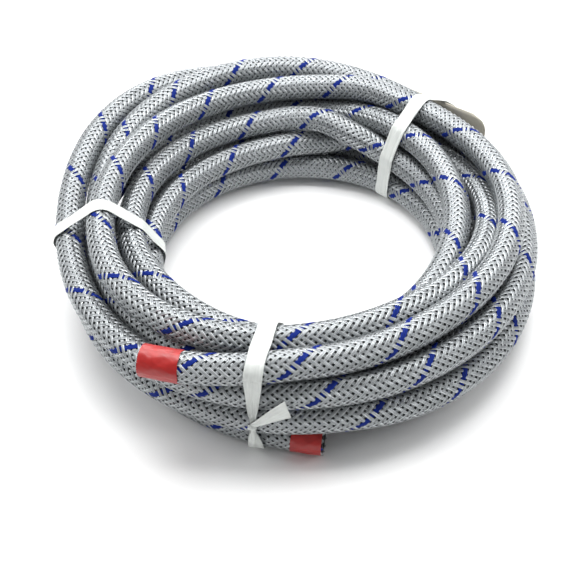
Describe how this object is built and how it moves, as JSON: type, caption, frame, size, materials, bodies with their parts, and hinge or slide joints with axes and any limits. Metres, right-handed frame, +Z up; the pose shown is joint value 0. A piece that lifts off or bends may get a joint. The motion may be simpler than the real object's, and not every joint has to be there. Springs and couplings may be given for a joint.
{
  "type": "coil of braided fuel hose",
  "caption": "Coil of wire-braided rubber fuel hose, several turns tied in three places, with taped ends and a plain card under the bundle.",
  "frame": {"origin": "on the floor at the middle of the coil's box", "axes": "+Z up along the axis that the hose is wound round; the side with the two taped ends faces -Y"},
  "size_m": [0.24, 0.2528, 0.0589],
  "materials": {
    "hose_braid": "bright grey braid of flat strands over black rubber, one blue strand, satin",
    "end_tape": "red adhesive tape, satin with a soft sheen",
    "tie_film": "milky ribbed film strip, slightly see-through",
    "card_board": "plain unprinted card, matt"
  },
  "bodies": {
    "root": {"hose": "hose_braid", "end_tape_first": "end_tape", "end_tape_last": "end_tape", "tie_front": "tie_film", "tie_left": "tie_film", "tie_rear": "tie_film", "card": "card_board"}
  },
  "joints": []
}
